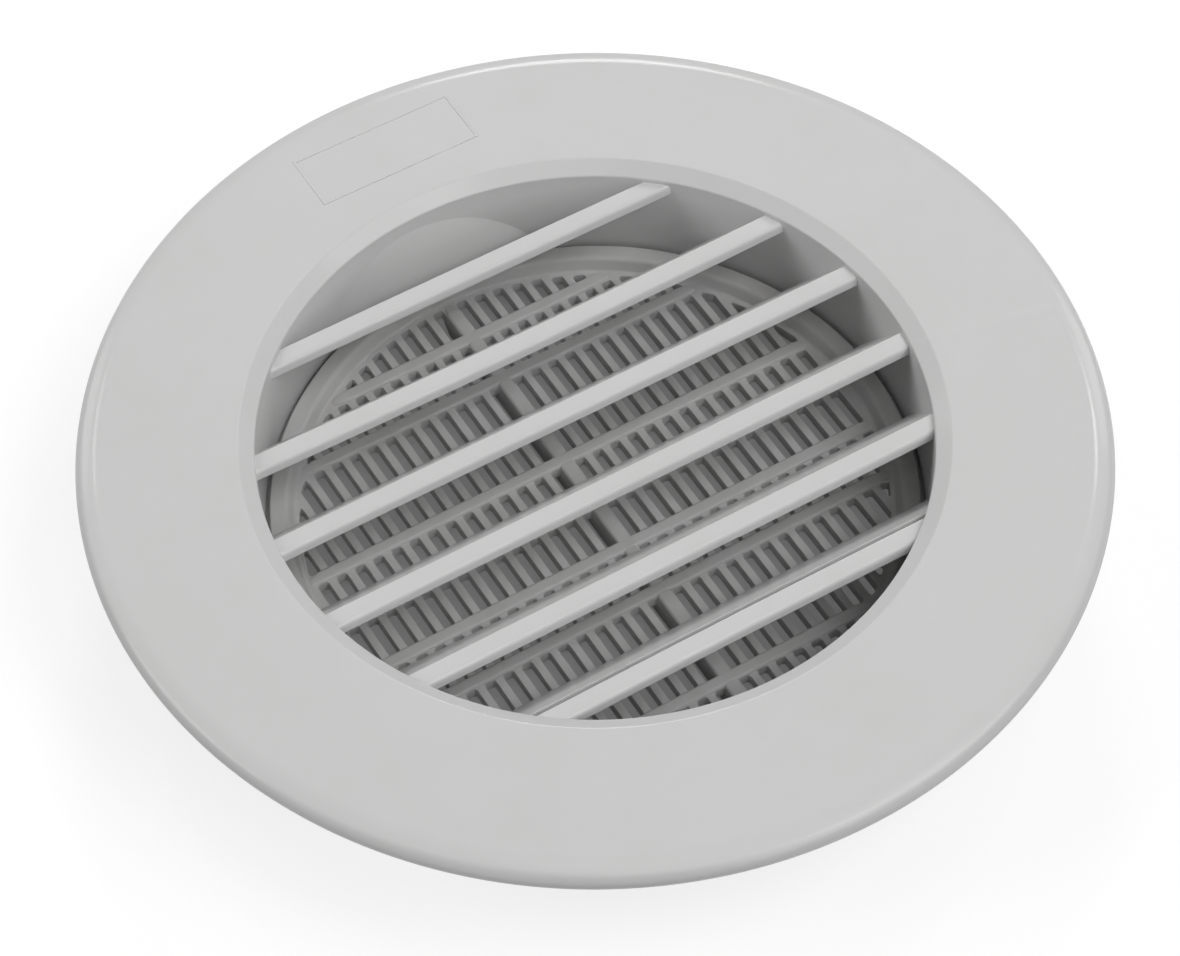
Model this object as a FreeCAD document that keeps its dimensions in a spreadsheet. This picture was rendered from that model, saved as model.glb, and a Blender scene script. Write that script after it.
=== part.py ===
import FreeCAD, Part
import os
import Sketcher

doc = FreeCAD.newDocument("round_vent_cover")

# Sizes that can be set, in millimetres and degrees
sizes = [
    ("flange_radius", 75.0, "outer radius of the flange"),
    ("rim_height", 2.65, "upright outer edge of the flange"),
    ("rim_wall", 2.0, "thickness of the turned-down rim"),
    ("edge_break", 0.3, "small broken corner on moulded edges"),
    ("bevel_width", 2.7, "sloped band inside the outer edge"),
    ("bevel_drop", 0.8, "height of that band"),
    ("plate_thickness", 2.0, "flange plate"),
    ("throat_radius", 49.25, "front edge of the opening"),
    ("throat_taper", 0.3, "how much the throat narrows down to the screen seat"),
    ("lip_width", 2.35, "sloped lip round the opening"),
    ("lip_drop", 1.35, "height of that lip"),
    ("collar_wall", 2.75, "spigot outer wall measured from the throat edge"),
    ("lead_in_width", 0.8, "taper on the spigot's rear edge, across"),
    ("lead_in_length", 2.0, "taper on the spigot's rear edge, along"),
    ("spigot_tail", 3.0, "spigot left behind the snap lugs"),
    ("slat_count", 6, "number of slats"),
    ("slat_pitch", 14.9, "from one slat front to the next"),
    ("slat_shift", -2.6, "middle of the slat fronts, off the axis"),
    ("slat_drop", 0.95, "slat tops below the edge of the opening"),
    ("slat_head_width", 2.9, "flat top of a slat"),
    ("slat_head_height", 2.1, "upright drip lip of a slat"),
    ("slat_angle", 37.0, "blade slope away from the axis"),
    ("blade_length", 13.3, "upper face of a blade"),
    ("blade_thickness", 1.7, "thickness of a blade"),
    ("crease_depth", 0.3, "step behind the flat top, where the blade starts"),
    ("slat_root", 1.0, "how far the slats run into the collar wall"),
    ("blade_clearance", 2.41, "blade ends to the front of the screen"),
    ("pad_drop", 3.3, "start of the sloped pad above the top slat, below the edge of the opening"),
    ("pad_angle", 17.7, "slope of that pad away from the throat wall"),
    ("ring_rise", 1.8, "screen ring in front of its seat"),
    ("ring_gap", 0.65, "shadow gap between screen ring and throat"),
    ("ring_band", 3.2, "flat top of the screen ring"),
    ("ring_step", 2.1, "step from the ring down to the ribs"),
    ("ring_ledge", 1.1, "lower shelf inside the step"),
    ("seat_ledge", 1.15, "width of the seat that the screen bears on"),
    ("screen_clearance", 0.2, "screen flange to the pocket wall"),
    ("rib_depth", 2.0, "depth of the ribs"),
    ("rib_pitch", 3.05, "from one rib to the next"),
    ("rib_width", 1.3, "width of a rib"),
    ("rib_count", 14, "ribs on each side of the middle rib"),
    ("middle_rib_width", 2.45, "rib across the middle, as high as the bars"),
    ("bar_pitch", 9.16, "from one bar to the next"),
    ("bar_width", 2.1, "width of a bar"),
    ("bar_rise", 0.5, "bars above the ribs"),
    ("bar_count", 9, "number of bars"),
    ("web_overlap", 0.4, "how far the web runs into the ring"),
    ("lug_count", 4, "snap lugs behind the screen"),
    ("lug_arc", 16.0, "length of a lug in degrees"),
    ("lug_reach", 0.8, "how far a lug stands out from the pocket wall"),
    ("lug_land", 0.5, "flat tip of a lug"),
    ("lug_length", 2.0, "lug along the spigot"),
    ("lug_root", 0.4, "how far a lug runs into the wall"),
]

# Values worked out from them
derived = [
    ("face_level", "rim_height + bevel_drop"),
    ("recess_level", "face_level - plate_thickness"),
    ("recess_radius", "flange_radius - rim_wall"),
    ("bevel_radius", "flange_radius - bevel_width"),
    ("rim_break_radius", "flange_radius - edge_break"),
    ("rim_break_level", "rim_height - edge_break"),
    ("throat_level", "face_level - lip_drop"),
    ("lip_radius", "throat_radius + lip_width"),
    ("spigot_radius", "throat_radius + collar_wall"),
    ("seat_radius", "throat_radius - throat_taper"),
    ("pocket_radius", "seat_radius + seat_ledge"),
    ("slat_top", "throat_level - slat_drop"),
    ("slat_break_level", "slat_top - edge_break"),
    ("slat_lip_level", "slat_top - slat_head_height"),
    ("blade_run", "blade_length * sin(slat_angle * 1deg)"),
    ("blade_fall", "blade_length * cos(slat_angle * 1deg)"),
    ("wall_run", "blade_thickness * cos(slat_angle * 1deg)"),
    ("wall_fall", "blade_thickness * sin(slat_angle * 1deg)"),
    ("first_slat", "slat_shift - (slat_count - 1) / 2 * slat_pitch"),
    ("slat_front_break", "first_slat + edge_break"),
    ("slat_back", "first_slat + slat_head_width"),
    ("crease_level", "slat_top - crease_depth"),
    ("blade_end_upper", "slat_back + blade_run"),
    ("blade_end_upper_level", "crease_level - blade_fall"),
    ("blade_end_lower", "blade_end_upper - wall_run"),
    ("blade_end_lower_level", "blade_end_upper_level - wall_fall"),
    ("lip_root", "blade_end_lower - (slat_lip_level - blade_end_lower_level) * tan(slat_angle * 1deg)"),
    ("slat_length", "2 * (throat_radius + collar_wall)"),
    ("slat_span", "(slat_count - 1) * slat_pitch"),
    ("slat_trim_radius", "throat_radius + slat_root"),
    ("pad_top", "throat_level - pad_drop"),
    ("pad_toe", "throat_radius - (pad_top - blade_end_lower_level) * tan(pad_angle * 1deg)"),
    ("ring_top", "blade_end_lower_level - blade_clearance"),
    ("seat_level", "ring_top - ring_rise"),
    ("rib_top", "ring_top - ring_step"),
    ("screen_back", "rib_top - rib_depth"),
    ("ring_radius", "seat_radius - ring_gap"),
    ("step_radius", "ring_radius - ring_band"),
    ("field_radius", "step_radius - ring_ledge"),
    ("screen_radius", "pocket_radius - screen_clearance"),
    ("web_radius", "field_radius + web_overlap"),
    ("web_reach", "2 * web_radius"),
    ("first_rib", "middle_rib_width / 2 + rib_pitch - rib_width / 2"),
    ("rib_span", "(rib_count - 1) * rib_pitch"),
    ("first_bar", "(bar_count - 1) / 2 * bar_pitch"),
    ("bar_span", "(bar_count - 1) * bar_pitch"),
    ("bar_depth", "rib_depth + bar_rise"),
    ("lug_base_radius", "pocket_radius + lug_root"),
    ("lug_tip_radius", "pocket_radius - lug_reach"),
    ("lug_land_level", "screen_back - lug_land"),
    ("lug_back_level", "screen_back - lug_length"),
    ("spigot_end", "lug_back_level - spigot_tail"),
    ("lead_in_radius", "spigot_radius - lead_in_width"),
    ("lead_in_level", "spigot_end + lead_in_length"),
]

dims = doc.addObject("Spreadsheet::Sheet", "dims")
row = 1
for name, number, note in sizes:
    dims.set("A%d" % row, name)
    dims.set("B%d" % row, str(number))
    dims.set("C%d" % row, note)
    dims.setAlias("B%d" % row, name)
    row += 1
for name, formula in derived:
    dims.set("A%d" % row, name)
    dims.set("B%d" % row, "=" + formula)
    dims.setAlias("B%d" % row, name)
    row += 1
doc.recompute()


def value(name):
    cell = dims.get(name)
    return float(getattr(cell, "Value", cell))


def origin_part(body, role):
    for feature in body.Origin.OriginFeatures:
        if feature.Role == role:
            return feature
    raise ValueError(role)


def new_sketch(body, name, role):
    sketch = body.newObject("Sketcher::SketchObject", name)
    sketch.AttachmentSupport = [(origin_part(body, role), "")]
    sketch.MapMode = "FlatFace"
    return sketch


# A closed outline whose corners are named in the sheet; None lies on the sketch's level axis
def outline(sketch, corners):
    points = []
    for across, along in corners:
        points.append(FreeCAD.Vector(value(across), value(along) if along else 0, 0))
    count = len(points)
    for i in range(count):
        sketch.addGeometry(Part.LineSegment(points[i], points[(i + 1) % count]), False)
    for i in range(count):
        sketch.addConstraint(Sketcher.Constraint("Coincident", i, 2, (i + 1) % count, 1))
    for i, (across, along) in enumerate(corners):
        index = sketch.addConstraint(Sketcher.Constraint("DistanceX", -1, 1, i, 1, points[i].x))
        sketch.setExpression("Constraints[%d]" % index, "dims." + across)
        if along:
            index = sketch.addConstraint(Sketcher.Constraint("DistanceY", -1, 1, i, 1, points[i].y))
            sketch.setExpression("Constraints[%d]" % index, "dims." + along)
        else:
            sketch.addConstraint(Sketcher.Constraint("PointOnObject", i, 1, -1))


# A rectangle centred on a named point of the screen's back face
def web_strip(body, name, centre_x, centre_y, size_x, size_y, height):
    sketch = new_sketch(body, name + "_outline", "XY_Plane")
    sketch.setExpression("AttachmentOffset.Base.x", centre_x)
    sketch.setExpression("AttachmentOffset.Base.y", centre_y)
    sketch.setExpression("AttachmentOffset.Base.z", "dims.screen_back")
    corners = [(-1, -1), (1, -1), (1, 1), (-1, 1)]
    points = [FreeCAD.Vector(x, y, 0) for x, y in corners]
    for i in range(4):
        sketch.addGeometry(Part.LineSegment(points[i], points[(i + 1) % 4]), False)
    for i in range(4):
        sketch.addConstraint(Sketcher.Constraint("Coincident", i, 2, (i + 1) % 4, 1))
    sketch.addConstraint(Sketcher.Constraint("Horizontal", 0))
    sketch.addConstraint(Sketcher.Constraint("Vertical", 1))
    sketch.addConstraint(Sketcher.Constraint("Horizontal", 2))
    sketch.addConstraint(Sketcher.Constraint("Vertical", 3))
    sketch.addConstraint(Sketcher.Constraint("Symmetric", 0, 1, 1, 2, -1, 1))
    across = sketch.addConstraint(Sketcher.Constraint("DistanceX", 0, 1, 0, 2, 2.0))
    sketch.setExpression("Constraints[%d]" % across, size_x)
    along = sketch.addConstraint(Sketcher.Constraint("DistanceY", 1, 1, 1, 2, 2.0))
    sketch.setExpression("Constraints[%d]" % along, size_y)
    pad = body.newObject("PartDesign::Pad", name)
    pad.Profile = sketch
    pad.setExpression("Length", height)
    body.Tip = pad
    return pad


def row_of(body, name, original, role, length, count, backwards):
    pattern = body.newObject("PartDesign::LinearPattern", name)
    pattern.Originals = [original]
    pattern.Direction = (origin_part(body, role), [""])
    pattern.Reversed = backwards
    pattern.setExpression("Length", length)
    pattern.setExpression("Occurrences", count)
    body.Tip = pattern
    return pattern


def trimming_cylinder(name, radius, low, high):
    cylinder = doc.addObject("Part::Cylinder", name)
    cylinder.setExpression("Radius", radius)
    cylinder.setExpression("Height", high + " - " + low)
    cylinder.setExpression("Placement.Base.z", low)
    return cylinder


# Flange, lip, throat, screen pocket and spigot in one turned section
shell = doc.addObject("PartDesign::Body", "shell")
section = new_sketch(shell, "shell_section", "XZ_Plane")
outline(section, [
    ("throat_radius", "throat_level"),
    ("lip_radius", "face_level"),
    ("bevel_radius", "face_level"),
    ("rim_break_radius", "rim_height"),
    ("flange_radius", "rim_break_level"),
    ("flange_radius", None),
    ("recess_radius", None),
    ("recess_radius", "recess_level"),
    ("spigot_radius", "recess_level"),
    ("spigot_radius", "lead_in_level"),
    ("lead_in_radius", "spigot_end"),
    ("pocket_radius", "spigot_end"),
    ("pocket_radius", "seat_level"),
    ("seat_radius", "seat_level"),
])
turned = shell.newObject("PartDesign::Revolution", "shell_turned")
turned.Profile = section
turned.ReferenceAxis = (section, ["V_Axis"])
turned.Angle = 360
shell.Tip = turned

# Snap lugs that hold the screen against its seat
lug_section = new_sketch(shell, "lug_section", "XZ_Plane")
outline(lug_section, [
    ("lug_base_radius", "screen_back"),
    ("lug_tip_radius", "screen_back"),
    ("lug_tip_radius", "lug_land_level"),
    ("lug_base_radius", "lug_back_level"),
])
lug = shell.newObject("PartDesign::Revolution", "lug")
lug.Profile = lug_section
lug.ReferenceAxis = (lug_section, ["V_Axis"])
lug.Midplane = True
lug.setExpression("Angle", "dims.lug_arc")
shell.Tip = lug
lugs = shell.newObject("PartDesign::PolarPattern", "lugs")
lugs.Originals = [lug]
lugs.Axis = (origin_part(shell, "Z_Axis"), [""])
lugs.Angle = 360
lugs.setExpression("Occurrences", "dims.lug_count")
shell.Tip = lugs

# One slat: flat top, drip lip in front, blade sloping back and down
louvre = doc.addObject("PartDesign::Body", "louvre")
louvre.AllowCompound = True
slat_section = new_sketch(louvre, "slat_section", "YZ_Plane")
outline(slat_section, [
    ("slat_front_break", "slat_top"),
    ("slat_back", "slat_top"),
    ("slat_back", "crease_level"),
    ("blade_end_upper", "blade_end_upper_level"),
    ("blade_end_lower", "blade_end_lower_level"),
    ("lip_root", "slat_lip_level"),
    ("first_slat", "slat_lip_level"),
    ("first_slat", "slat_break_level"),
])
slat = louvre.newObject("PartDesign::Pad", "slat")
slat.Profile = slat_section
slat.SideType = "Symmetric"
slat.setExpression("Length", "dims.slat_length")
louvre.Tip = slat
row_of(louvre, "slats", slat, "Y_Axis", "dims.slat_span", "dims.slat_count", False)

# Slats trimmed to the throat
slat_trim = trimming_cylinder("slat_trim", "dims.slat_trim_radius", "dims.seat_level", "dims.face_level")
slat_set = doc.addObject("Part::Common", "slat_set")
slat_set.Base = louvre
slat_set.Tool = slat_trim

# Sloped pad on the throat wall behind the top slat
throat_pad = doc.addObject("PartDesign::Body", "throat_pad")
pad_section = new_sketch(throat_pad, "pad_section", "YZ_Plane")
outline(pad_section, [
    ("slat_trim_radius", "pad_top"),
    ("throat_radius", "pad_top"),
    ("pad_toe", "blade_end_lower_level"),
    ("slat_trim_radius", "blade_end_lower_level"),
])
wedge = throat_pad.newObject("PartDesign::Pad", "wedge")
wedge.Profile = pad_section
wedge.SideType = "Symmetric"
wedge.setExpression("Length", "dims.slat_length")
throat_pad.Tip = wedge
pad_trimmed = doc.addObject("Part::Common", "pad_trimmed")
pad_trimmed.Base = throat_pad
pad_trimmed.Tool = slat_trim
grille = doc.addObject("Part::MultiFuse", "grille")
grille.Shapes = [shell, slat_set, pad_trimmed]
grille.Refine = True
grille.Label = "grille"

# Screen ring with its step, and the thin flange that bears on the seat
screen_rim = doc.addObject("PartDesign::Body", "screen_rim")
ring_section = new_sketch(screen_rim, "ring_section", "XZ_Plane")
outline(ring_section, [
    ("field_radius", "rib_top"),
    ("step_radius", "rib_top"),
    ("step_radius", "ring_top"),
    ("ring_radius", "ring_top"),
    ("ring_radius", "seat_level"),
    ("screen_radius", "seat_level"),
    ("screen_radius", "screen_back"),
    ("field_radius", "screen_back"),
])
ring = screen_rim.newObject("PartDesign::Revolution", "ring")
ring.Profile = ring_section
ring.ReferenceAxis = (ring_section, ["V_Axis"])
ring.Angle = 360
screen_rim.Tip = ring

# Web of ribs crossed by wider raised bars
rib_set = doc.addObject("PartDesign::Body", "rib_set")
rib_set.AllowCompound = True
web_strip(rib_set, "middle_rib", "0", "0", "dims.middle_rib_width", "dims.web_reach", "dims.bar_depth")
right_rib = web_strip(rib_set, "right_rib", "dims.first_rib", "0", "dims.rib_width", "dims.web_reach", "dims.rib_depth")
row_of(rib_set, "right_ribs", right_rib, "X_Axis", "dims.rib_span", "dims.rib_count", False)
left_rib = web_strip(rib_set, "left_rib", "-dims.first_rib", "0", "dims.rib_width", "dims.web_reach", "dims.rib_depth")
row_of(rib_set, "left_ribs", left_rib, "X_Axis", "dims.rib_span", "dims.rib_count", True)

bar_set = doc.addObject("PartDesign::Body", "bar_set")
bar_set.AllowCompound = True
bar = web_strip(bar_set, "bar", "0", "-dims.first_bar", "dims.web_reach", "dims.bar_width", "dims.bar_depth")
row_of(bar_set, "bars", bar, "Y_Axis", "dims.bar_span", "dims.bar_count", False)

# Ribs and bars trimmed to the ring and joined with it
web_trim = trimming_cylinder("web_trim", "dims.web_radius", "dims.screen_back", "dims.ring_top")
rib_disc = doc.addObject("Part::Common", "rib_disc")
rib_disc.Base = rib_set
rib_disc.Tool = web_trim
bar_disc = doc.addObject("Part::Common", "bar_disc")
bar_disc.Base = bar_set
bar_disc.Tool = web_trim
insect_screen = doc.addObject("Part::MultiFuse", "insect_screen")
insect_screen.Shapes = [screen_rim, rib_disc, bar_disc]
insect_screen.Refine = True
insect_screen.Label = "insect_screen"

doc.recompute()

for item in doc.Objects:
    if "Invalid" in item.State or "Error" in item.State:
        raise RuntimeError("%s did not recompute: %s" % (item.Name, item.State))

os.makedirs("parts", exist_ok=True)
for piece in (grille, insect_screen):
    shape = piece.Shape
    if shape.isNull() or not shape.isValid() or len(shape.Solids) != 1:
        raise RuntimeError("%s is not one valid solid" % piece.Label)
    shape.exportStep("parts/%s.step" % piece.Label)
    box = shape.BoundBox
    print(piece.Label, "volume %.0f mm3" % shape.Volume, "x %.1f to %.1f" % (box.XMin, box.XMax),
          "y %.1f to %.1f" % (box.YMin, box.YMax), "z %.2f to %.2f" % (box.ZMin, box.ZMax))
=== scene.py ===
import bpy
import bmesh
import math
from mathutils import Matrix, Vector


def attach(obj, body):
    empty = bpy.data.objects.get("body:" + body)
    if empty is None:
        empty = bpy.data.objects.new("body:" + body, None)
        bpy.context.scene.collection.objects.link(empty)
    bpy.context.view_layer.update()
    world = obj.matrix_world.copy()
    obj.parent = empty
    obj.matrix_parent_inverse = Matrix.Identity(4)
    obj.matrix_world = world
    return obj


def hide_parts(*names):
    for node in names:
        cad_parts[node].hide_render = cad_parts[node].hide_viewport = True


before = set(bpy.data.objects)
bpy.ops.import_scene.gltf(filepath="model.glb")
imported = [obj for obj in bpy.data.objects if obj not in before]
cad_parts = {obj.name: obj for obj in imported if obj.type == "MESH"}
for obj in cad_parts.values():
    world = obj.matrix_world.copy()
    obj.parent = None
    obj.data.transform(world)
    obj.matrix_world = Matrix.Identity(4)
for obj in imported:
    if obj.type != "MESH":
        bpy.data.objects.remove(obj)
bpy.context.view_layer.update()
mm = 0.001
print("frame loaded, nodes:", ", ".join(sorted(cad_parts)))


# softens the corners of a closed outline; each corner is across, along, radius in mm
def roundCorners(corners, steps, sideShare=0.45):
    outline = []
    count = len(corners)
    for i in range(count):
        here = Vector(corners[i][:2])
        radius = corners[i][2]
        if radius <= 0:
            outline.append(here)
            continue
        toBefore = Vector(corners[i - 1][:2]) - here
        toAfter = Vector(corners[(i + 1) % count][:2]) - here
        halfAngle = toBefore.angle(toAfter) / 2
        room = sideShare * min(toBefore.length, toAfter.length)
        setback = min(radius / math.tan(halfAngle), room)
        start = here + toBefore.normalized() * setback
        end = here + toAfter.normalized() * setback
        for k in range(steps + 1):
            t = k / steps
            outline.append(start * (1 - t) ** 2 + here * 2 * t * (1 - t) + end * t ** 2)
    return outline


# sweeps an outline of radius and height round the axis, all the way or over an arc
def turnOutline(bm, outline, segments, startAngle=0.0, sweep=2 * math.pi):
    whole = sweep >= 2 * math.pi
    rings = []
    for i in range(segments if whole else segments + 1):
        angle = startAngle + sweep * i / segments
        ring = []
        for p in outline:
            place = (p.x * math.cos(angle) * mm, p.x * math.sin(angle) * mm, p.y * mm)
            ring.append(bm.verts.new(place))
        rings.append(ring)
    count = len(outline)
    for i in range(segments):
        ringA = rings[i]
        ringB = rings[(i + 1) % len(rings)]
        for k in range(count):
            n = (k + 1) % count
            bm.faces.new((ringA[k], ringB[k], ringB[n], ringA[n]))
    if not whole:
        bm.faces.new(rings[0])
        bm.faces.new(list(reversed(rings[-1])))


# joins loops of points with quads and closes both ends
def skinLoops(bm, loops):
    rows = [[bm.verts.new(Vector(p) * mm) for p in loop] for loop in loops]
    count = len(rows[0])
    for i in range(len(rows) - 1):
        for k in range(count):
            n = (k + 1) % count
            bm.faces.new((rows[i][k], rows[i + 1][k], rows[i + 1][n], rows[i][n]))
    bm.faces.new(rows[0])
    bm.faces.new(list(reversed(rows[-1])))


def makePiece(name, bm, material, nodeName, sharpDegrees=32):
    bmesh.ops.recalc_face_normals(bm, faces=bm.faces[:])
    mesh = bpy.data.meshes.new(name)
    bm.to_mesh(mesh)
    bm.free()
    mesh.shade_smooth()
    mesh.set_sharp_from_angle(angle=math.radians(sharpDegrees))
    piece = bpy.data.objects.new(name, mesh)
    bpy.context.scene.collection.objects.link(piece)
    mesh.materials.append(material)
    evenNormals = piece.modifiers.new("evenNormals", "WEIGHTED_NORMAL")
    evenNormals.keep_sharp = True
    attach(piece, "root")
    if nodeName:
        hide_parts(nodeName)
    return piece


# places of the sockets on a mix node, for colours and for plain values
colorMix = {"share": 0, "first": 6, "second": 7, "result": 2}
valueMix = {"share": 0, "first": 2, "second": 3, "result": 0}


def addColorMix(nodes, links, share):
    mix = nodes.new("ShaderNodeMix")
    mix.data_type = "RGBA"
    links.new(share, mix.inputs[colorMix["share"]])
    return mix


def addMath(nodes, links, operation, first, second):
    step = nodes.new("ShaderNodeMath")
    step.operation = operation
    links.new(first, step.inputs[0])
    links.new(second, step.inputs[1])
    return step.outputs["Value"]


def addNoise(nodes, links, place, scale, detail, roughness):
    noise = nodes.new("ShaderNodeTexNoise")
    noise.inputs["Detail"].default_value = detail
    noise.inputs["Roughness"].default_value = roughness
    links.new(place, noise.inputs["Vector"])
    links.new(scale, noise.inputs["Scale"])
    return noise.outputs["Fac"]


def addRange(nodes, links, value, limits):
    spread = nodes.new("ShaderNodeMapRange")
    spread.inputs["From Min"].default_value = limits[0]
    spread.inputs["From Max"].default_value = limits[1]
    links.new(value, spread.inputs["Value"])
    return spread


# fine spark-eroded mould texture, with slow changes of tone and gloss
skinLook = {
    "grainDetail": 3.0,
    "grainRoughness": 0.62,
    "mottleDetail": 4.0,
    "mottleRoughness": 0.5,
    "toneRange": (0.35, 0.65),
    "glossRange": (0.3, 0.7),
}


def buildMouldedSkin(look):
    group = bpy.data.node_groups.new("mouldedSkin", "ShaderNodeTree")
    face = group.interface
    face.new_socket(name="Grain Scale", in_out="INPUT", socket_type="NodeSocketFloat")
    face.new_socket(name="Mottle Scale", in_out="INPUT", socket_type="NodeSocketFloat")
    face.new_socket(name="Tone", in_out="INPUT", socket_type="NodeSocketColor")
    face.new_socket(name="Mottle Tone", in_out="INPUT", socket_type="NodeSocketColor")
    face.new_socket(name="Gloss Low", in_out="INPUT", socket_type="NodeSocketFloat")
    face.new_socket(name="Gloss High", in_out="INPUT", socket_type="NodeSocketFloat")
    face.new_socket(name="Color", in_out="OUTPUT", socket_type="NodeSocketColor")
    face.new_socket(name="Roughness", in_out="OUTPUT", socket_type="NodeSocketFloat")
    face.new_socket(name="Height", in_out="OUTPUT", socket_type="NodeSocketFloat")
    nodes = group.nodes
    links = group.links
    entry = nodes.new("NodeGroupInput")
    leave = nodes.new("NodeGroupOutput")
    place = nodes.new("ShaderNodeTexCoord").outputs["Object"]
    grain = addNoise(nodes, links, place, entry.outputs["Grain Scale"],
                     look["grainDetail"], look["grainRoughness"])
    mottle = addNoise(nodes, links, place, entry.outputs["Mottle Scale"],
                      look["mottleDetail"], look["mottleRoughness"])
    spread = addRange(nodes, links, mottle, look["toneRange"])
    tint = addColorMix(nodes, links, spread.outputs["Result"])
    links.new(entry.outputs["Tone"], tint.inputs[colorMix["first"]])
    links.new(entry.outputs["Mottle Tone"], tint.inputs[colorMix["second"]])
    gloss = addRange(nodes, links, mottle, look["glossRange"])
    links.new(entry.outputs["Gloss Low"], gloss.inputs["To Min"])
    links.new(entry.outputs["Gloss High"], gloss.inputs["To Max"])
    links.new(tint.outputs[colorMix["result"]], leave.inputs["Color"])
    links.new(gloss.outputs["Result"], leave.inputs["Roughness"])
    links.new(grain, leave.inputs["Height"])
    return group


# dust that settles on faces that look up, broken up by a soft noise
dustLook = {
    "patchDetail": 5.0,
    "patchRoughness": 0.6,
    "upwardRange": (0.3, 0.95),
    "patchRange": (0.42, 0.72),
}


def buildSettledDust(look):
    group = bpy.data.node_groups.new("settledDust", "ShaderNodeTree")
    face = group.interface
    face.new_socket(name="Color", in_out="INPUT", socket_type="NodeSocketColor")
    face.new_socket(name="Dust Color", in_out="INPUT", socket_type="NodeSocketColor")
    face.new_socket(name="Amount", in_out="INPUT", socket_type="NodeSocketFloat")
    face.new_socket(name="Scale", in_out="INPUT", socket_type="NodeSocketFloat")
    face.new_socket(name="Color", in_out="OUTPUT", socket_type="NodeSocketColor")
    nodes = group.nodes
    links = group.links
    entry = nodes.new("NodeGroupInput")
    leave = nodes.new("NodeGroupOutput")
    place = nodes.new("ShaderNodeTexCoord")
    patches = addNoise(nodes, links, place.outputs["Object"], entry.outputs["Scale"],
                       look["patchDetail"], look["patchRoughness"])
    split = nodes.new("ShaderNodeSeparateXYZ")
    links.new(place.outputs["Normal"], split.inputs["Vector"])
    upward = addRange(nodes, links, split.outputs["Z"], look["upwardRange"])
    speckle = addRange(nodes, links, patches, look["patchRange"])
    both = addMath(nodes, links, "MULTIPLY", upward.outputs["Result"], speckle.outputs["Result"])
    share = addMath(nodes, links, "MULTIPLY", both, entry.outputs["Amount"])
    cover = addColorMix(nodes, links, share)
    links.new(entry.outputs["Color"], cover.inputs[colorMix["first"]])
    links.new(entry.outputs["Dust Color"], cover.inputs[colorMix["second"]])
    links.new(cover.outputs[colorMix["result"]], leave.inputs["Color"])
    return group


mouldedSkin = buildMouldedSkin(skinLook)
settledDust = buildSettledDust(dustLook)


def mouldedPlastic(name, look):
    material = bpy.data.materials.new(name)
    material.use_nodes = True
    nodes = material.node_tree.nodes
    links = material.node_tree.links
    shader = nodes["Principled BSDF"]
    shader.inputs["IOR"].default_value = look["ior"]
    shader.inputs["Coat Weight"].default_value = look["coat"]
    shader.inputs["Coat Roughness"].default_value = look["coatRoughness"]
    skin = nodes.new("ShaderNodeGroup")
    skin.node_tree = mouldedSkin
    skin.inputs["Grain Scale"].default_value = look["grainScale"]
    skin.inputs["Mottle Scale"].default_value = look["mottleScale"]
    skin.inputs["Tone"].default_value = (*look["tone"], 1.0)
    skin.inputs["Mottle Tone"].default_value = (*look["mottleTone"], 1.0)
    skin.inputs["Gloss Low"].default_value = look["glossLow"]
    skin.inputs["Gloss High"].default_value = look["glossHigh"]
    dust = nodes.new("ShaderNodeGroup")
    dust.node_tree = settledDust
    dust.inputs["Dust Color"].default_value = (*look["dustTone"], 1.0)
    dust.inputs["Amount"].default_value = look["dustAmount"]
    dust.inputs["Scale"].default_value = look["dustScale"]
    bump = nodes.new("ShaderNodeBump")
    bump.inputs["Strength"].default_value = look["bumpStrength"]
    bump.inputs["Distance"].default_value = look["bumpDepth"]
    links.new(skin.outputs["Color"], dust.inputs["Color"])
    links.new(dust.outputs["Color"], shader.inputs["Base Color"])
    links.new(skin.outputs["Roughness"], shader.inputs["Roughness"])
    links.new(skin.outputs["Height"], bump.inputs["Height"])
    links.new(bump.outputs["Normal"], shader.inputs["Normal"])
    return material


grillePlastic = mouldedPlastic("grillePlastic", {
    "tone": (0.615, 0.615, 0.615),
    "mottleTone": (0.604, 0.604, 0.601),
    "glossLow": 0.47,
    "glossHigh": 0.57,
    "ior": 1.4,
    "coat": 0.36,
    "coatRoughness": 0.15,
    "grainScale": 2600.0,
    "mottleScale": 34.0,
    "dustTone": (0.54, 0.535, 0.52),
    "dustAmount": 0.12,
    "dustScale": 160.0,
    "bumpStrength": 0.12,
    "bumpDepth": 0.00004,
})
# the screen's tone is set a little darker than the grille's: painted shade for its place deep in
# the throat
screenPlastic = mouldedPlastic("screenPlastic", {
    "tone": (0.585, 0.585, 0.585),
    "mottleTone": (0.555, 0.553, 0.545),
    "glossLow": 0.5,
    "glossHigh": 0.6,
    "ior": 1.47,
    "coat": 0.1,
    "coatRoughness": 0.3,
    "grainScale": 2200.0,
    "mottleScale": 55.0,
    "dustTone": (0.47, 0.46, 0.44),
    "dustAmount": 0.3,
    "dustScale": 240.0,
    "bumpStrength": 0.16,
    "bumpDepth": 0.00005,
})
print("plastics mixed")


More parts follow.
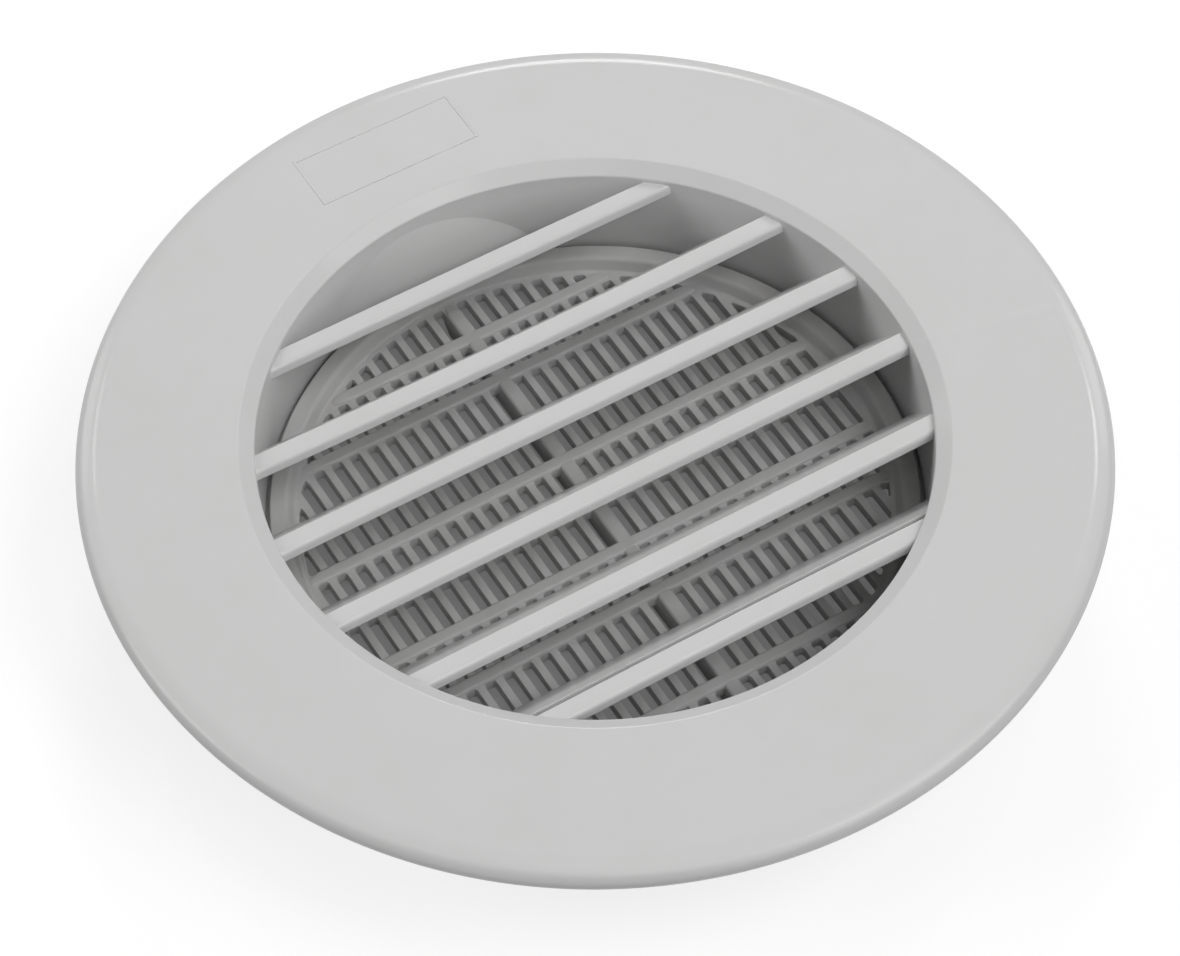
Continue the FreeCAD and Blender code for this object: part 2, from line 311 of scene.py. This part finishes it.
# flange, lip, throat, screen pocket and spigot, turned in one go, with the snap lugs behind
shellLook = {
    "flangeRadius": 75.0,
    "faceLevel": 3.45,
    "plate": 2.0,
    "bevelWidth": 2.7,
    "bevelRound": 6.0,
    "rimHeight": 2.65,
    "rimWall": 2.0,
    "rimShoulder": 0.55,  # the outer edge rolls over and is slightly barrelled
    "rimBelly": 1.45,
    "rimBulge": 0.2,
    "rimRound": 1.7,
    "rimTuck": 0.28,
    "rimFoot": -0.05,
    "rimFootRound": 0.45,
    "rimInsideRound": 0.25,
    "recessRound": 0.4,
    "throatRadius": 49.25,
    "throatLevel": 1.92,
    "throatRound": 0.45,
    "lipRadius": 51.6,
    "lipRound": 0.6,
    "seatRadius": 48.95,
    "seatLevel": -15.005,
    "seatRound": 0.15,
    "pocketRadius": 50.1,
    "pocketRound": 0.1,
    "spigotRadius": 52.0,
    "spigotRound": 0.5,
    "spigotEnd": -22.305,
    "spigotEndRound": 0.2,
    "leadInWidth": 0.8,
    "leadInLength": 2.0,
    "leadInRound": 0.6,
    "segments": 640,
    "cornerSteps": 4,
    "markAngle": -13.4,  # small raised mark across the lip, at the right
    "markWidth": 0.42,
    "markRise": 0.13,
    "markLevel": 1.7,
    "markInside": 0.1,
    "markOutside": 0.2,
    "lugs": 4,
    "lugArc": 16.0,
    "lugReach": 0.8,
    "lugLand": 0.5,
    "lugLength": 2.0,
    "lugRoot": 0.4,
    "lugFront": -17.305,
    "lugRound": 0.12,
    "lugCornerSteps": 3,
    "lugSegments": 12,
}


def markLip(bm, look):
    angle = math.radians(look["markAngle"])
    along = Vector((math.cos(angle), math.sin(angle)))
    inside = look["throatRadius"] - look["markInside"]
    outside = look["lipRadius"] + look["markOutside"]
    for vert in bm.verts:
        place = vert.co.xy / mm
        onLip = inside < place.length < outside and vert.co.z > look["markLevel"] * mm
        if onLip and place.dot(along) > 0:
            aside = place.cross(along) / look["markWidth"]
            vert.co.z += look["markRise"] * mm * math.exp(-aside * aside)


def addLugs(bm, look):
    inner = look["pocketRadius"] - look["lugReach"]
    root = look["pocketRadius"] + look["lugRoot"]
    front = look["lugFront"]
    outline = roundCorners([
        (root, front, 0),
        (inner, front, look["lugRound"]),
        (inner, front - look["lugLand"], look["lugRound"]),
        (root, front - look["lugLength"], 0),
    ], look["lugCornerSteps"])
    arc = math.radians(look["lugArc"])
    for i in range(look["lugs"]):
        middle = 2 * math.pi * i / look["lugs"]
        turnOutline(bm, outline, look["lugSegments"], middle - arc / 2, arc)


def turnShell(look):
    flange = look["flangeRadius"]
    spigot = look["spigotRadius"]
    end = look["spigotEnd"]
    recess = look["faceLevel"] - look["plate"]
    bevelFall = look["faceLevel"] - look["rimHeight"]
    shoulderRise = look["rimShoulder"] * bevelFall / look["bevelWidth"]
    outline = roundCorners([
        (look["throatRadius"], look["throatLevel"], look["throatRound"]),
        (look["lipRadius"], look["faceLevel"], look["lipRound"]),
        (flange - look["bevelWidth"], look["faceLevel"], look["bevelRound"]),
        (flange - look["rimShoulder"], look["rimHeight"] + shoulderRise, look["rimRound"]),
        (flange + look["rimBulge"], look["rimBelly"], look["rimRound"]),
        (flange - look["rimTuck"], look["rimFoot"], look["rimFootRound"]),
        (flange - look["rimWall"], 0.0, look["rimInsideRound"]),
        (flange - look["rimWall"], recess, look["recessRound"]),
        (spigot, recess, look["spigotRound"]),
        (spigot, end + look["leadInLength"], look["leadInRound"]),
        (spigot - look["leadInWidth"], end, look["spigotEndRound"]),
        (look["pocketRadius"], end, look["spigotEndRound"]),
        (look["pocketRadius"], look["seatLevel"], look["pocketRound"]),
        (look["seatRadius"], look["seatLevel"], look["seatRound"]),
    ], look["cornerSteps"])
    bm = bmesh.new()
    turnOutline(bm, outline, look["segments"])
    markLip(bm, look)
    addLugs(bm, look)
    return makePiece("grilleShell", bm, grillePlastic, "grille")


grilleShell = turnShell(shellLook)
print("shell turned:", len(grilleShell.data.polygons), "faces")


# slats run from wall to wall: flat top, drip lip, blade sloping back and down
slatLook = {
    "count": 6,
    "pitch": 14.9,
    "shift": -2.6,
    "top": 1.15,
    "topRound": 0.8,
    "headWidth": 2.9,
    "headHeight": 2.1,
    "headRound": 0.3,
    "lipDraft": 0.22,  # the lip's lower edge stands a little forward
    "lipRise": 0.3,
    "lipRound": 0.3,
    "crease": 0.3,
    "creaseRound": 0.1,
    "angle": 37.0,
    "bladeLength": 13.3,
    "bladeThickness": 1.7,
    "bladeRound": 0.4,
    "wallRadius": 49.9,
    "leastReach": 0.1,
    "stations": 60,
    "cornerSteps": 4,
    "settle": (0.3, -0.15, 0.05, -0.1, -0.1, -0.05),  # small error of each slat, from the top
    "bow": (0.1, -0.45, 0.05, 0.0, 0.0, 0.15),
    "groove": (0.0, 0.0, 0.0, 0.0, 0.0, 0.95),  # behind the flat top of the lowest slat
    "grooveDepth": 1.2,
    "grooveDraft": 0.05,
    "grooveFloor": 0.75,  # shares of the groove's width
    "grooveMouth": 0.8,
    "grooveFoot": 0.6,
    "grooveDrop": 0.1,
    "grooveRound": 0.15,
    "scarSlat": 4,  # gate scar under the lip
    "scarPlace": 5.5,
    "scarWidth": 1.7,
    "scarDepth": 0.7,
    "scarReach": 1.5,
    "scarHeight": 0.5,
}


def slatOutline(look, groove):
    slope = math.radians(look["angle"])
    run = look["bladeLength"] * math.sin(slope)
    fall = look["bladeLength"] * math.cos(slope)
    wallRun = look["bladeThickness"] * math.cos(slope)
    wallFall = look["bladeThickness"] * math.sin(slope)
    head = look["headWidth"]
    crease = look["top"] - look["crease"]
    lipLevel = look["top"] - look["headHeight"]
    endBack = head + run
    endLevel = crease - fall
    rootBack = endBack - wallRun - (lipLevel - (endLevel - wallFall)) * math.tan(slope)
    corners = [(0.0, look["top"], look["topRound"]), (head, look["top"], look["headRound"])]
    if groove > 0:
        floor = crease - look["grooveDepth"]
        mouth = crease - look["grooveDrop"]
        corners += [
            (head + look["grooveDraft"], floor, look["creaseRound"]),
            (head + groove * look["grooveFloor"], floor, look["creaseRound"]),
            (head + groove * look["grooveMouth"], mouth, look["grooveRound"]),
        ]
    else:
        corners.append((head, crease, look["creaseRound"]))
    corners += [
        (endBack + groove * look["grooveFoot"], endLevel, look["bladeRound"]),
        (endBack - wallRun, endLevel - wallFall, look["bladeRound"]),
        (rootBack, lipLevel, look["lipRound"]),
        (-look["lipDraft"], lipLevel + look["lipRise"], look["lipRound"]),
    ]
    return roundCorners(corners, look["cornerSteps"]), lipLevel


def makeSlats(look):
    bm = bmesh.new()
    for i in range(look["count"]):
        outline, lipLevel = slatOutline(look, look["groove"][i])
        front = look["shift"] + ((look["count"] - 1) / 2 - i) * look["pitch"] + look["settle"][i]
        scarTop = lipLevel + look["scarHeight"]
        loops = []
        for s in range(look["stations"] + 1):
            along = -1 + 2 * s / look["stations"]
            sag = look["bow"][i] * (1 - along * along)
            loop = []
            for p in outline:
                y = front + p.x
                reach = math.sqrt(max(look["wallRadius"] ** 2 - y * y, look["leastReach"] ** 2))
                x = along * reach
                z = p.y
                if i == look["scarSlat"] and p.x < look["scarReach"] and z < scarTop:
                    aside = (x - look["scarPlace"]) / look["scarWidth"]
                    z += look["scarDepth"] * math.exp(-aside * aside)
                loop.append((x, y + sag, z))
            loops.append(loop)
        skinLoops(bm, loops)
    return makePiece("slats", bm, grillePlastic, "grille")


slats = makeSlats(slatLook)
print("slats made:", len(slats.data.polygons), "faces")


# sloped pad on the throat wall, behind the top slat
padLook = {
    "top": -1.2,
    "bottom": -10.795,
    "startRadius": 49.25,
    "angle": 17.7,
    "rootRadius": 50.1,
    "throatRadius": 49.25,
    "throatLevel": 2.1,
    "throatDraft": 0.01754,  # the wall leans in a little, towards the screen
    "hidden": 0.12,
    "halfWidth": 22.0,
    "stations": 64,
    "steps": 40,
    "blendTop": 1.0,  # the pad fades into the wall, softly on its left side
    "blendLeft": 2.2,
    "blendRight": 0.25,
    "blendStart": 2.0,
    "blendRun": 17.0,
}


# the lower of two heights, eased where they cross
def easedLower(first, second, ease):
    share = min(max(0.5 + 0.5 * (second - first) / ease, 0.0), 1.0)
    return second + (first - second) * share - ease * share * (1 - share)


def makeThroatPad(look):
    lean = math.tan(math.radians(look["angle"]))
    bm = bmesh.new()
    loops = []
    for s in range(look["stations"] + 1):
        x = look["halfWidth"] * (-1 + 2 * s / look["stations"])
        root = math.sqrt(look["rootRadius"] ** 2 - x * x)
        leftShare = min(max((look["blendStart"] - x) / look["blendRun"], 0.0), 1.0)
        ease = look["blendRight"] + (look["blendLeft"] - look["blendRight"]) * leftShare
        face = []
        back = []
        for k in range(look["steps"] + 1):
            z = look["blendTop"] + (look["bottom"] - look["blendTop"]) * k / look["steps"]
            plane = look["startRadius"] - (look["top"] - z) * lean
            radius = look["throatRadius"] - look["throatDraft"] * (look["throatLevel"] - z)
            wall = math.sqrt(radius * radius - x * x)
            y = easedLower(plane, wall + look["hidden"], ease)
            face.append((x, y, z))
            back.append((x, root, z))
        loops.append(face + list(reversed(back)))
    skinLoops(bm, loops)
    return makePiece("throatPad", bm, grillePlastic, "grille")


makeThroatPad(padLook)
print("throat pad set in")


# bare raised frame near the flange's upper edge
panelLook = {
    "centre": (0.3, 62.5),
    "width": 27.1,
    "height": 10.2,
    "border": 0.46,
    "rise": 0.1,
    "sink": 0.2,
    "level": 3.45,
    "edgeInset": 0.04,
    "edgeDrop": 0.03,
}


def makePanel(look):
    cx, cy = look["centre"]
    halfWidth = look["width"] / 2
    halfHeight = look["height"] / 2
    border = look["border"]
    top = look["level"] + look["rise"]
    edge = top - look["edgeDrop"]
    low = look["level"] - look["sink"]
    section = [(0.0, low), (0.0, edge), (look["edgeInset"], top),
               (border - look["edgeInset"], top), (border, edge), (border, low)]
    bm = bmesh.new()
    loops = []
    for inset, level in section:
        w = halfWidth - inset
        h = halfHeight - inset
        corners = [(-w, -h), (w, -h), (w, h), (-w, h)]
        loops.append([bm.verts.new(((cx + x) * mm, (cy + y) * mm, level * mm)) for x, y in corners])
    for i in range(len(loops)):
        first = loops[i]
        second = loops[(i + 1) % len(loops)]
        for k in range(len(first)):
            n = (k + 1) % len(first)
            bm.faces.new((first[k], first[n], second[n], second[k]))
    return makePiece("panelFrame", bm, grillePlastic, None)


makePanel(panelLook)
print("panel frame laid")


# insect screen: stepped ring, slotted web and raised bars
screenLook = {
    "ringTop": -13.205,
    "seatLevel": -15.005,
    "webTop": -15.305,
    "back": -17.305,
    "screenRadius": 49.9,
    "screenRound": 0.15,
    "ringRadius": 48.3,
    "ringRound": 0.35,
    "stepRadius": 45.1,
    "stepFoot": 0.35,  # the step's slope, inside and outside its radius
    "stepFootRound": 0.9,
    "stepHead": 0.5,
    "stepHeadRound": 1.0,
    "seatRound": 0.1,
    "backRound": 0.2,
    "fieldRadius": 44.0,
    "fieldRound": 0.3,
    "webRadius": 44.4,
    "segments": 256,
    "cornerSteps": 4,
    "slotPitch": 3.05,
    "slotWidth": 1.75,
    "firstSlot": 2.1,
    "slotColumns": 14,
    "slotCorner": 0.45,
    "slotCornerSteps": 3,
    "slotLeast": 0.9,  # shorter slots are left out
    "slotSliver": 0.25,  # a shorter side is closed to a point
    "edgeRound": 0.2,
    "edgeSteps": 1,
    "weldGap": 0.002,
    "sharpDegrees": 40,
    "bars": 9,
    "barPitch": 9.16,
    "barWidth": 2.1,
    "barRise": 0.5,
    "barSink": 0.3,
    "barFoot": 0.05,
    "barShoulder": (0.86, 0.72),  # shares of half the width and of the rise
    "barCrown": (0.6, 0.97),
    "barOverlap": 0.2,
    "barTaper": 2.2,
    "barTaperPower": 1.6,
    "barGrowth": (0.15, 0.55, 0.85, 1.0),
    "barEndShare": 0.45,
    "middleWidth": 2.45,
    "middleDrop": 0.06,
    "stiffenerDepth": 2.8,
    "stiffenerReach": 43.6,
    "stiffenerRoot": 0.4,
    "stiffenerTaper": 0.8,
    "stiffenerRound": 0.3,
    "stiffenerFlat": 0.97,
    "stiffenerCut": 1.6,
}


def barCentres(look):
    return [(i - (look["bars"] - 1) / 2) * look["barPitch"] for i in range(look["bars"])]


def slotOutlines(look):
    outlines = []
    centres = barCentres(look)
    halfBar = look["barWidth"] / 2
    lows = [-look["fieldRadius"]] + [y + halfBar for y in centres]
    highs = [y - halfBar for y in centres] + [look["fieldRadius"]]
    half = look["slotWidth"] / 2
    for column in range(look["slotColumns"]):
        for side in (-1, 1):
            centre = side * (look["firstSlot"] + column * look["slotPitch"])
            for low, high in zip(lows, highs):
                points = clipSlot(look, centre - half, centre + half, low, high)
                if points:
                    corners = [(x, y, look["slotCorner"]) for x, y in points]
                    outlines.append(roundCorners(corners, look["slotCornerSteps"]))
    return outlines


# a slot keeps what lies inside the round field
def clipSlot(look, left, right, low, high):
    radius = look["fieldRadius"]

    def inside(x):
        return math.sqrt(max(radius * radius - x * x, 0.0))

    leftLow = max(low, -inside(left))
    leftHigh = min(high, inside(left))
    rightLow = max(low, -inside(right))
    rightHigh = min(high, inside(right))
    leftOpen = leftHigh - leftLow
    rightOpen = rightHigh - rightLow
    if max(leftOpen, rightOpen) < look["slotLeast"]:
        return None
    if min(leftOpen, rightOpen) < look["slotSliver"]:
        keep = low if low > 0 else high
        if leftOpen < look["slotSliver"]:
            left = max(left, -inside(keep))
            return [(left, keep), (right, rightLow), (right, rightHigh)]
        right = min(right, inside(keep))
        return [(right, keep), (left, leftHigh), (left, leftLow)]
    return [(left, leftLow), (right, rightLow), (right, rightHigh), (left, leftHigh)]


def makeWeb(look):
    curve = bpy.data.curves.new("webOutline", "CURVE")
    curve.dimensions = "2D"
    curve.fill_mode = "BOTH"
    radius = look["webRadius"]
    turns = [2 * math.pi * i / look["segments"] for i in range(look["segments"])]
    rim = [Vector((radius * math.cos(a), radius * math.sin(a))) for a in turns]
    outlines = slotOutlines(look)
    for outline in [rim] + outlines:
        spline = curve.splines.new("POLY")
        spline.points.add(len(outline) - 1)
        for point, p in zip(spline.points, outline):
            point.co = (p.x * mm, p.y * mm, 0.0, 1.0)
        spline.use_cyclic_u = True
    depth = look["webTop"] - look["back"]
    curve.bevel_depth = look["edgeRound"] * mm
    curve.bevel_resolution = look["edgeSteps"]
    curve.offset = -look["edgeRound"] * mm
    curve.extrude = (depth / 2 - look["edgeRound"]) * mm
    plate = bpy.data.objects.new("webOutline", curve)
    bpy.context.scene.collection.objects.link(plate)
    bpy.context.view_layer.update()
    filled = plate.evaluated_get(bpy.context.evaluated_depsgraph_get())
    mesh = bpy.data.meshes.new_from_object(filled)
    bpy.data.objects.remove(plate)
    bm = bmesh.new()
    bm.from_mesh(mesh)
    bpy.data.meshes.remove(mesh)
    bmesh.ops.remove_doubles(bm, verts=bm.verts[:], dist=look["weldGap"] * mm)
    middle = (look["webTop"] + look["back"]) / 2
    bmesh.ops.translate(bm, verts=bm.verts[:], vec=(0, 0, middle * mm))
    for y in barCentres(look):
        reach = math.sqrt(look["fieldRadius"] ** 2 - y * y) + look["barOverlap"]
        addBar(bm, look, y, reach, look["barWidth"], False)
    addBar(bm, look, 0.0, look["fieldRadius"] + look["barOverlap"], look["middleWidth"], True)
    addStiffener(bm, look)
    print("web has", len(outlines), "slots")
    return makePiece("screenWeb", bm, screenPlastic, "insect_screen",
                     look["sharpDegrees"])


# a raised bar with a crowned top and ends that taper down to the web
def addBar(bm, look, offset, reach, width, upright):
    half = width / 2
    rise = look["barRise"] - (look["middleDrop"] if upright else 0.0)
    shoulderOut, shoulderUp = look["barShoulder"]
    crownOut, crownUp = look["barCrown"]
    side = [(half, -look["barSink"]), (half, look["barFoot"]),
            (half * shoulderOut, rise * shoulderUp), (half * crownOut, rise * crownUp)]
    section = [(-out, lift) for out, lift in side] + side[::-1]
    growth = look["barGrowth"]
    loops = []
    for along, grow in [(-1, g) for g in growth] + [(1, g) for g in reversed(growth)]:
        x = along * (reach - look["barTaper"] * grow ** look["barTaperPower"])
        narrow = look["barEndShare"] + (1 - look["barEndShare"]) * grow
        loop = []
        for across, lift in section:
            y = offset + across * narrow
            z = look["webTop"] + (lift * grow if lift > 0 else lift)
            loop.append((-y, x, z) if upright else (x, y, z))
        loops.append(loop)
    skinLoops(bm, loops)


# narrow rib behind the middle of the web
def addStiffener(bm, look):
    half = look["middleWidth"] / 2
    foot = half * look["stiffenerTaper"]
    root = look["back"] + look["stiffenerRoot"]
    low = look["back"] - look["stiffenerDepth"]
    section = roundCorners([
        (-half, root, 0),
        (half, root, 0),
        (foot, low, look["stiffenerRound"]),
        (-foot, low, look["stiffenerRound"]),
    ], look["slotCornerSteps"])
    flat = look["stiffenerFlat"]
    cut = look["stiffenerCut"]
    loops = []
    for along, lift in ((-1.0, cut), (-flat, 0.0), (flat, 0.0), (1.0, cut)):
        y = along * look["stiffenerReach"]
        loops.append([(p.x, y, max(p.y, low + lift)) for p in section])
    skinLoops(bm, loops)


def turnRing(look):
    outline = roundCorners([
        (look["fieldRadius"], look["webTop"], look["fieldRound"]),
        (look["stepRadius"] - look["stepFoot"], look["webTop"], look["stepFootRound"]),
        (look["stepRadius"] + look["stepHead"], look["ringTop"], look["stepHeadRound"]),
        (look["ringRadius"], look["ringTop"], look["ringRound"]),
        (look["ringRadius"], look["seatLevel"], look["seatRound"]),
        (look["screenRadius"], look["seatLevel"], look["screenRound"]),
        (look["screenRadius"], look["back"], look["backRound"]),
        (look["fieldRadius"], look["back"], look["backRound"]),
    ], look["cornerSteps"])
    bm = bmesh.new()
    turnOutline(bm, outline, look["segments"])
    return makePiece("screenRing", bm, screenPlastic, "insect_screen")


turnRing(screenLook)
screenWeb = makeWeb(screenLook)
print("screen made:", len(screenWeb.data.polygons), "faces in the web")


# pale floor and soft studio light
studio = {
    "floorLevel": -22.305,
    "floorSize": 6.0,
    "floorSquares": 8,
    "floorTone": (0.32, 0.32, 0.32),
    "floorGlow": 0.75,
    "floorRoughness": 0.9,
    "floorSpecular": 0.1,
    "paintedShadeTone": (0.3, 0.3, 0.3),  # painted shade: the floor is given a darker tone and a dim glow under the spigot, where the part's shadow falls
    "paintedShadeGlow": 0.1,
    "paintedShadeRange": (0.056, 0.066),  # in metres from the part's origin, down to the floor
    "skyStrength": 0.05,
    "surroundStrength": 0.7,  # what gloss picks up from the white surroundings
    "lampDistance": 1.6,
    "viewTurn": 30.83,
    "lamps": {  # tilt from upright, turn in the picture, size and share of the light
        "overhead": (0.0, 0.0, 0.4, 0.025),
        "rightLamp": (36.0, 345.0, 0.9, 0.24),
        "frontLamp": (31.0, 302.0, 1.1, 0.158),
        "leftLamp": (58.0, 188.0, 0.9, 0.18),
        "backLamp": (58.0, 90.0, 0.4, 0.113),
        "backRightLamp": (58.0, 50.0, 0.4, 0.035),
        "backLeftLamp": (58.0, 135.0, 0.4, 0.03),
        "lowLamp": (58.0, 315.0, 0.4, 0.052),
        "floorLamp": (72.0, 300.0, 0.4, 0.026),
        "rightGlint": (43.5, 58.0, 0.15, 0.035),
        "leftGlint": (43.5, 122.0, 0.17, 0.02),
    },
}


# the glow is for the camera and for gloss, and lights nothing
def mixFloor(look):
    material = bpy.data.materials.new("paleFloor")
    material.use_nodes = True
    nodes = material.node_tree.nodes
    links = material.node_tree.links
    matte = nodes["Principled BSDF"]
    matte.inputs["Roughness"].default_value = look["floorRoughness"]
    matte.inputs["Specular IOR Level"].default_value = look["floorSpecular"]
    path = nodes.new("ShaderNodeLightPath")
    seen = addMath(nodes, links, "MAXIMUM",
                   path.outputs["Is Camera Ray"], path.outputs["Is Glossy Ray"])
    place = nodes.new("ShaderNodeTexCoord")
    away = nodes.new("ShaderNodeVectorMath")
    away.operation = "LENGTH"
    links.new(place.outputs["Object"], away.inputs[0])
    # painted shade: under the spigot the floor takes a darker tone and a dimmer glow
    outside = addRange(nodes, links, away.outputs["Value"], look["paintedShadeRange"])
    tone = addColorMix(nodes, links, outside.outputs["Result"])
    tone.inputs[colorMix["first"]].default_value = (*look["paintedShadeTone"], 1.0)
    tone.inputs[colorMix["second"]].default_value = (*look["floorTone"], 1.0)
    links.new(tone.outputs[colorMix["result"]], matte.inputs["Base Color"])
    shine = nodes.new("ShaderNodeMix")
    shine.inputs[valueMix["first"]].default_value = look["paintedShadeGlow"]
    shine.inputs[valueMix["second"]].default_value = look["floorGlow"]
    links.new(outside.outputs["Result"], shine.inputs[valueMix["share"]])
    level = addMath(nodes, links, "MULTIPLY", shine.outputs[valueMix["result"]], seen)
    glow = nodes.new("ShaderNodeEmission")
    links.new(level, glow.inputs["Strength"])
    both = nodes.new("ShaderNodeAddShader")
    links.new(matte.outputs["BSDF"], both.inputs[0])
    links.new(glow.outputs["Emission"], both.inputs[1])
    links.new(both.outputs["Shader"], nodes["Material Output"].inputs["Surface"])
    return material


def makeFloor(look):
    bm = bmesh.new()
    squares = look["floorSquares"]
    bmesh.ops.create_grid(bm, x_segments=squares, y_segments=squares, size=look["floorSize"] / 2)
    bmesh.ops.translate(bm, verts=bm.verts[:], vec=(0, 0, look["floorLevel"] * mm))
    mesh = bpy.data.meshes.new("paleFloor")
    bm.to_mesh(mesh)
    bm.free()
    floor = bpy.data.objects.new("paleFloor", mesh)
    bpy.context.scene.collection.objects.link(floor)
    mesh.materials.append(mixFloor(look))


# a round soft lamp that gives its share of the light on a level face at the origin
def addSoftLight(name, look):
    tilt, turn, size, share = look["lamps"][name]
    tilt = math.radians(tilt)
    turn = math.radians(turn - look["viewTurn"])
    distance = look["lampDistance"]
    light = bpy.data.lights.new(name, "AREA")
    light.shape = "DISK"
    light.size = size
    light.energy = share * math.pi ** 2 * distance ** 2 / math.cos(tilt)
    lamp = bpy.data.objects.new(name, light)
    bpy.context.scene.collection.objects.link(lamp)
    aside = math.sin(tilt)
    aim = Vector((aside * math.cos(turn), aside * math.sin(turn), math.cos(tilt)))
    lamp.location = aim * distance
    lamp.rotation_mode = "QUATERNION"
    lamp.rotation_quaternion = aim.to_track_quat("Z", "Y")


def lightStudio(look):
    world = bpy.data.worlds.new("studioSky")
    bpy.context.scene.world = world
    world.use_nodes = True
    nodes = world.node_tree.nodes
    links = world.node_tree.links
    sky = nodes["Background"]
    sky.inputs["Color"].default_value = (1.0, 1.0, 1.0, 1.0)
    path = nodes.new("ShaderNodeLightPath")
    level = nodes.new("ShaderNodeMath")
    level.operation = "MULTIPLY_ADD"
    level.inputs[1].default_value = look["surroundStrength"] - look["skyStrength"]
    level.inputs[2].default_value = look["skyStrength"]
    links.new(path.outputs["Is Glossy Ray"], level.inputs[0])
    links.new(level.outputs["Value"], sky.inputs["Strength"])
    for name in look["lamps"]:
        addSoftLight(name, look)


makeFloor(studio)
lightStudio(studio)
print("studio lit")


# camera fitted to the photograph: turn about the axis, tilt from the axis, roll and distance
cameraLook = {
    "turn": 30.83,
    "tilt": 36.504,
    "roll": -0.453,
    "distance": 499.04,
    "offset": (0.771, 7.109),
    "level": 2.65,
    "focalPixels": 3450.2,
    "imageWidth": 1180.0,
    "sensor": 36.0,
    "clipStart": 0.01,
}


def placeCamera(look):
    turn = math.radians(look["turn"])
    tilt = math.radians(look["tilt"])
    roll = math.radians(look["roll"])
    across = Vector((math.cos(turn), -math.sin(turn), 0))
    away = Vector((math.sin(turn), math.cos(turn), 0))
    upward = Vector((0, 0, 1))
    rise = away * math.cos(tilt) + upward * math.sin(tilt)
    back = upward * math.cos(tilt) - away * math.sin(tilt)
    place = back * look["distance"] - across * look["offset"][0] - rise * look["offset"][1]
    place.z += look["level"]
    right = across * math.cos(roll) + rise * math.sin(roll)
    top = rise * math.cos(roll) - across * math.sin(roll)
    data = bpy.data.cameras.new("photoCamera")
    data.sensor_fit = "HORIZONTAL"
    data.sensor_width = look["sensor"]
    data.lens = look["focalPixels"] / look["imageWidth"] * look["sensor"]
    data.clip_start = look["clipStart"]
    camera = bpy.data.objects.new("photoCamera", data)
    bpy.context.scene.collection.objects.link(camera)
    pose = Matrix((right, top, back)).transposed().to_4x4()
    pose.translation = place * mm
    camera.matrix_world = pose
    bpy.context.scene.camera = camera


placeCamera(cameraLook)
bpy.context.scene.view_settings.view_transform = "Standard"
print("camera placed")
